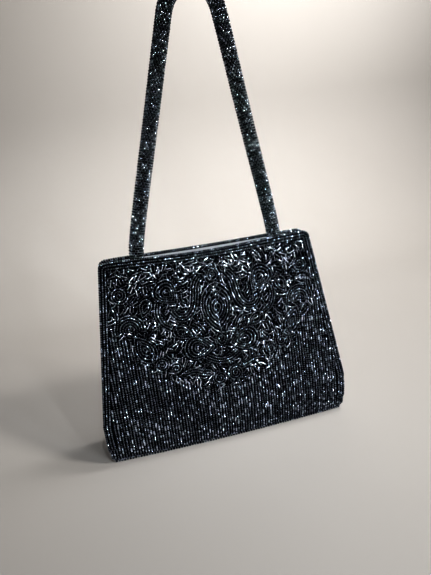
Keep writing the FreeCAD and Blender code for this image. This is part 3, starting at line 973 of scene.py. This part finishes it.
def blend_handle(piece, x, slot, *nodes):
    """Bakes a piece of the handle's placement into its mesh and hides the parts it stands in for.
    """
    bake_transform(piece)
    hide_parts(*nodes)


def make_handle():
    rng = random.Random(9)
    strand = Strand()
    rings = handle_rings()
    for index, (middle, along, half_x, half_y) in enumerate(rings):
        out = Vector((0, 1, 0)).cross(along)
        for k in range(BEADS_ROUND):
            angle = TAU * (k + 0.5 * (index % 2)) / BEADS_ROUND + 0.012 * index
            radius_x, radius_y = half_x - HANDLE_BEAD_DEPTH, half_y - HANDLE_BEAD_DEPTH
            point = middle + out * radius_x * math.cos(angle)
            point = point + Vector((0, radius_y * math.sin(angle), 0))
            strand.add(point * MM, along, 1.0, seed_tone(rng, 0.03))
    top_x = ARCH_TOP_X * MM
    for word, x, keep, nodes in (
            ("left", HANDLE_LINE[1][0], lambda p: p[0] < top_x,
             ("handle_sleeve", "handle_end_left", "handle_foot_left")),
            ("right", HANDLE_LINE[-2][0], lambda p: p[0] >= top_x,
             ("handle_end_right", "handle_foot_right"))):
        piece = strand.part(keep).make("handle_glass_" + word, ROPE_GLASS, 61, width=2.06,
                                       length=1.66, tilt=0.14, narrowing=0.45)
        blend_handle(piece, x, "beads", *nodes)
    blend_handle(rope_mesh(rings), 0, "rope", "handle_core")


def new_piece(name, bm, material):
    bmesh.ops.recalc_face_normals(bm, faces=bm.faces)
    for face in bm.faces:
        face.smooth = True
    mesh = bpy.data.meshes.new(name)
    bm.to_mesh(mesh)
    bm.free()
    mesh.materials.append(material)
    return link(name, mesh)


def skin(bm, loops):
    """Faces between closed loops of points that follow each other."""
    for first, second in zip(loops, loops[1:]):
        count = len(first)
        for k in range(count):
            bm.faces.new((first[k], first[(k + 1) % count], second[(k + 1) % count], second[k]))


def rope_mesh(rings):
    """Three twisted strands under the beads, one closed mesh."""
    bm = bmesh.new()
    around = 24
    loops = []
    for index, (middle, along, half_x, half_y) in enumerate(rings):
        out = Vector((0, 1, 0)).cross(along)
        loop = []
        for k in range(around):
            angle = TAU * k / around
            lay = 1 - 0.12 * (1 + math.cos(3 * angle - 0.5 * index)) / 2
            point = middle + out * (half_x - ROPE_DEPTH) * lay * math.cos(angle)
            point = point + Vector((0, (half_y - ROPE_DEPTH) * lay * math.sin(angle), 0))
            loop.append(bm.verts.new(point * MM))
        loops.append(loop)
    skin(bm, loops)
    bm.faces.new(list(reversed(loops[0])))
    bm.faces.new(loops[-1])
    return new_piece("handle_rope", bm, BEAD_CLOTH)


make_handle()


# ---- cloth of the walls
def grid_cloth(name, outer, inner, columns, rows, material):
    """Closed sheet between two surfaces given as functions of column and row."""
    bm = bmesh.new()
    faces = []
    for surface in (outer, inner):
        faces.append([[bm.verts.new(surface(i / columns, j / rows)) for i in range(columns + 1)]
                      for j in range(rows + 1)])
    for layer in faces:
        for j in range(rows):
            for i in range(columns):
                bm.faces.new((layer[j][i], layer[j][i + 1], layer[j + 1][i + 1], layer[j + 1][i]))
    near, far = faces
    for i in range(columns):
        bm.faces.new((near[0][i], near[0][i + 1], far[0][i + 1], far[0][i]))
        bm.faces.new((near[rows][i], near[rows][i + 1], far[rows][i + 1], far[rows][i]))
    for j in range(rows):
        bm.faces.new((near[j][0], near[j + 1][0], far[j + 1][0], far[j][0]))
        bm.faces.new((near[j][columns], near[j + 1][columns], far[j + 1][columns],
                      far[j][columns]))
    return new_piece(name, bm, material)


CLOTH_CROWDING = 1.6         # rows of faces come closer together towards the rim
POCKET_LOW = 45
POCKET_HIGH = 105
POCKET_HALF = 45
BINDING_LOW = 101


def wall_cloth(name, side, depth, thick, low, high, inset, ruffle, material, half_x=None,
               columns=64, rows=40):
    """A layer of a wall. ruffle is how far the cloth stands off in soft folds, inwards."""
    def surface(extra):
        def at(u, v):
            z = low + (high - low) * (1 - (1 - v) ** CLOTH_CROWDING)
            half = min(edge_half(z, inset), half_x or 1000)
            x = half * (2 * u - 1)
            fold = noise.noise(Vector((x * 0.11 + 5 * side, z * 0.035, side * 3.1)))
            fold = fold + 0.5 * noise.noise(Vector((x * 0.4, z * 0.12, side * 7.7)))
            hold = min(1.0, 6 * v, 6 * (1 - v))
            return wall_point(side, x, z, depth + extra + ruffle * hold * (0.5 + fold))
        return at
    return grid_cloth(name, surface(0), surface(thick), columns, rows, material)


def sheet_of(piece, body, slot, nodes):
    ride(piece, body, slot, *nodes)


def make_walls():
    for word, side, body in (("front", -1, "front_wall"), ("back", 1, "bag")):
        low = SEAM_Z
        top = RIM_Z - 1.6
        piece = wall_cloth(word + "_ground_cloth", side, BEAD_LAYER, CLOTH, low, top, 0.8, 0,
                           BEAD_CLOTH)
        sheet_of(piece, body, "ground_fabric", [word + "_ground"])
        piece = wall_cloth(word + "_buckram", side, BEAD_LAYER + CLOTH, BUCKRAM, low, top - 1.2,
                           1.0, 0, BUCKRAM_CLOTH)
        ride(piece, body, "stiffener", word + "_stiffener")
        piece = wall_cloth(word + "_facing_satin", side, BEAD_LAYER + CLOTH + BUCKRAM, CLOTH,
                           ZIP_Z, RIM_Z - 2.6, 1.2, 0.35, GREY_SATIN, rows=16, columns=110)
        sheet_of(piece, body, "facing", [word + "_facing"])
        piece = wall_cloth(word + "_lining_satin", side, BEAD_LAYER + CLOTH + BUCKRAM, CLOTH,
                           low, ZIP_Z - 0.1, 0.9, 0.5, LINING_SATIN)
        sheet_of(piece, body, "lining", [word + "_lining"])
    piece = wall_cloth("pocket_satin", 1, WALL + 0.15, 0.5, POCKET_LOW, POCKET_HIGH, 0, 0.5,
                       LINING_SATIN, half_x=POCKET_HALF, rows=30)
    sheet_of(piece, "bag", "lining", ["inner_pocket"])
    piece = wall_cloth("pocket_binding_satin", 1, WALL + 0.7, 0.5, BINDING_LOW, POCKET_HIGH, 0,
                       0.3, BLACK_SATIN, half_x=POCKET_HALF, rows=6)
    ride(piece, "bag", "lining", "pocket_binding")


make_walls()


# ---- gussets
def make_gussets():
    low, high = SEAM_Z, RIM_Z - 6.5

    def surface(side, inward, ruffle):
        def at(u, v):
            z = low + (high - low) * v
            share = (z - SEAM_Z) / (RIM_Z - SEAM_Z)
            fold = 2.0 + 4.0 * share
            reach = half_depth(z) - WALL_BOW - WALL - 0.3
            t = 2 * u - 1
            bend = 1 - math.sqrt(t * t + 0.012) / math.sqrt(1.012)
            wave = noise.noise(Vector((t * 2.2, z * 0.05, side * 4.0))) * ruffle
            wave = wave * min(1.0, 8 * (1 - abs(t))) * min(1.0, 10 * v)
            x = half_width(z) - 1.2 - inward - fold * bend - 0.35 * (1 + wave)
            return Vector((side * x, t * reach, z)) * MM
        return at

    for side, word in ((-1, "left"), (1, "right")):
        for layer, inward, thick, material, slot in (
                ("gusset", 0.0, 0.85, BLACK_SATIN, "gusset"),
                ("gusset_lining", 0.9, 0.35, LINING_SATIN, "lining")):
            piece = grid_cloth(layer + "_satin_" + word, surface(side, inward, 0.8),
                               surface(side, inward + thick, 0.8), 40, 60, material)
            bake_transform(piece)
            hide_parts(layer + "_" + word)


make_gussets()


# ---- base cloths
def tray_outline(z, inset, count=36):
    """Points round the tray at level z: the front and an end, then the same turned round."""
    half = half_width(z) - inset
    middle = half_depth(z) - inset
    points = []
    for i in range(count):
        x = -half + 2 * half * i / count
        points.append((x, -(middle - bow_drop(x, z))))
    for i in range(8):
        points.append((half, (middle - WALL_BOW) * (2 * i / 8 - 1)))
    return points + [(-x, -y) for x, y in points]


def tray_cloth(name, inset, floor, thick, material):
    """Cloth that lines a tray: up its sides and flat over its bottom, one closed mesh."""
    bm = bmesh.new()
    layers = []
    for extra in (0.0, thick):
        loops = []
        for j in range(7):
            z = SEAM_Z - 0.3 + (floor + extra - SEAM_Z + 0.3) * j / 6
            loops.append([bm.verts.new(Vector((x, y, z)) * MM)
                          for x, y in tray_outline(z, inset + extra)])
        for share in (0.93, 0.8, 0.6, 0.35, 0.1):
            loops.append([bm.verts.new(Vector((x * share, y * share, floor + extra)) * MM)
                          for x, y in tray_outline(floor + extra, inset + extra)])
        layers.append(loops)
    for loops in layers:
        skin(bm, loops)
        bm.faces.new(loops[-1])
    skin(bm, (layers[0][0], layers[1][0]))
    return new_piece(name, bm, material)


BASE_LINING_INSET = 2.35
BASE_LINING_FLOOR = 3.95


def make_base_cloths():
    piece = tray_cloth("base_ground_cloth", BEAD_LAYER, BEAD_LAYER, CLOTH, BEAD_CLOTH)
    sheet_of(piece, "bag", "ground_fabric", ["base_ground"])
    piece = tray_cloth("base_lining_satin", BASE_LINING_INSET, BASE_LINING_FLOOR, CLOTH,
                       LINING_SATIN)
    sheet_of(piece, "bag", "lining", ["base_lining"])


make_base_cloths()


# ---- zip
TAPE_HALF_LENGTH = 76.8
COIL_START = -70.0
COIL_LENGTH = 145.0
COIL_PITCH = 1.45
COIL_HALF_WIDTH = 0.98
COIL_FLATNESS = 0.62
COIL_WIRE = 0.2              # radius of the nylon
STOP_ROUNDING = 0.35


def make_zip():
    for word, side, body in (("front", -1, "front_wall"), ("back", 1, "bag")):
        def surface(extra, side=side):
            def at(u, v):
                x = TAPE_HALF_LENGTH * (2 * u - 1)
                wall = half_depth(ZIP_Z) - WALL - bow_drop(x, ZIP_Z) - 0.05
                y = wall + (1.9 - wall) * v
                ripple = 0.12 * noise.noise(Vector((x * 0.25, y * 0.6, side * 2.0)))
                return Vector((x, side * y, ZIP_Z - 0.25 + extra + ripple)) * MM
            return at
        tape = grid_cloth("zip_tape_weave_" + word, surface(0), surface(0.5), 100, 6, TAPE_CLOTH)
        ride(tape, body, "zip_tape", "zip_tape_" + word)
        empty = bpy.data.meshes.new("coil_points")
        empty.from_pydata([(0, 0, 0)], [], [])
        coil = grow("zip_coil_wire_" + word, empty, COIL, {
            "Turns": COIL_LENGTH / COIL_PITCH, "Length": COIL_LENGTH * MM,
            "Half width": COIL_HALF_WIDTH * MM, "Flatness": COIL_FLATNESS,
            "Wire": COIL_WIRE * MM, "Start turn": 0.0 if side < 0 else math.pi,
            "Middle": (COIL_START * MM, side * 1.0 * MM, ZIP_Z * MM), "Nylon": NYLON})
        ride(coil, body, "zip_coil", "zip_coil_" + word)
    for node, body in (("zip_top_stop_front", "front_wall"), ("zip_top_stop_back", "bag"),
                       ("zip_bottom_stop", "bag")):
        low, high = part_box(node)
        bm = bmesh.new()
        bmesh.ops.create_cube(bm, size=1.0)
        for vert in bm.verts:
            vert.co = Vector([(a + b) / 2 + c * (b - a) for a, b, c in zip(low, high, vert.co)])
        bmesh.ops.bevel(bm, geom=bm.edges[:], offset=STOP_ROUNDING * MM, segments=3, affect="EDGES")
        piece = new_piece(node + "_crimp", bm, NICKEL)
        ride(piece, body, "zip_metal", node)


make_zip()

for node, material in (("zip_slider", NICKEL), ("zip_slider_bail", NICKEL), ("zip_pull", NICKEL),
                       ("base_board", CARD)):
    for slot_index in range(len(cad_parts[node].material_slots)):
        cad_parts[node].material_slots[slot_index].material = material


# ---- floor, light
FLOOR_FRONT = -2.5
FLOOR_SIDE = 3.0
BEND_START = 0.35            # where the floor begins to curve up into the backdrop
BEND_RADIUS = 0.35
BACKDROP_TOP = 3.0


def make_stage():
    material, tree, shader, place = new_material("pale_floor")
    colour = mix_colour(tree, mottle(tree, place, 3.0, 4.0), (0.315, 0.297, 0.278, 1),
                        (0.34, 0.322, 0.303, 1))
    tree.links.new(colour, shader.inputs["Base Color"])
    shader.inputs["Roughness"].default_value = 0.9
    bm = bmesh.new()
    profile = [(FLOOR_FRONT, 0.0), (BEND_START, 0.0)]
    for i in range(1, 13):
        angle = math.pi / 2 * i / 12
        profile.append((BEND_START + BEND_RADIUS * math.sin(angle),
                        BEND_RADIUS - BEND_RADIUS * math.cos(angle)))
    profile.append((BEND_START + BEND_RADIUS, BACKDROP_TOP))
    left = [bm.verts.new((-FLOOR_SIDE, y, z)) for y, z in profile]
    right = [bm.verts.new((FLOOR_SIDE, y, z)) for y, z in profile]
    for i in range(len(profile) - 1):
        bm.faces.new((left[i], right[i], right[i + 1], left[i + 1]))
    new_piece("studio_floor", bm, material)


def make_light(name, place, target, size, power, beam, colour=(1, 1, 1)):
    data = bpy.data.lights.new(name, "AREA")
    data.size = size
    data.energy = power
    data.spread = math.radians(beam)
    data.color = colour
    light = link(name, data)
    light.location = place
    turn = (Vector(target) - Vector(place)).to_track_quat("-Z", "Y")
    light.rotation_euler = turn.to_euler()


def make_lights():
    middle = (0.0, 0.1, 0.12)
    make_light("key", (0.95, -0.75, 0.95), middle, 0.25, 2.3, 80, (1.0, 0.98, 0.95))
    make_light("fill", (-0.9, -0.9, 0.8), middle, 0.15, 0.05, 60, (0.92, 0.96, 1.0))
    make_light("back", (0.6, 0.05, 1.3), (0.3, 0.7, 0.6), 0.4, 9.0, 105)
    for index, place in enumerate(((-0.12, -0.9, 0.7), (0.35, -0.9, 0.6), (0.1, -0.8, 1.0),
                                   (-0.05, -1.0, 0.42), (0.6, -0.95, 0.35))):
        make_light("sparkle_%d" % index, place, (0.06, 0.0, 0.1), 0.05, 0.20, 50,
                   (0.92, 0.96, 1.0))
    bpy.context.scene.view_settings.view_transform = "Standard"
    bpy.context.scene.view_settings.look = "Very High Contrast"
    world = bpy.data.worlds.new("studio")
    world.use_nodes = True
    world.node_tree.nodes["Background"].inputs["Color"].default_value = (0.82, 0.83, 0.86, 1)
    world.node_tree.nodes["Background"].inputs["Strength"].default_value = 0.035
    bpy.context.scene.world = world


make_stage()
make_lights()
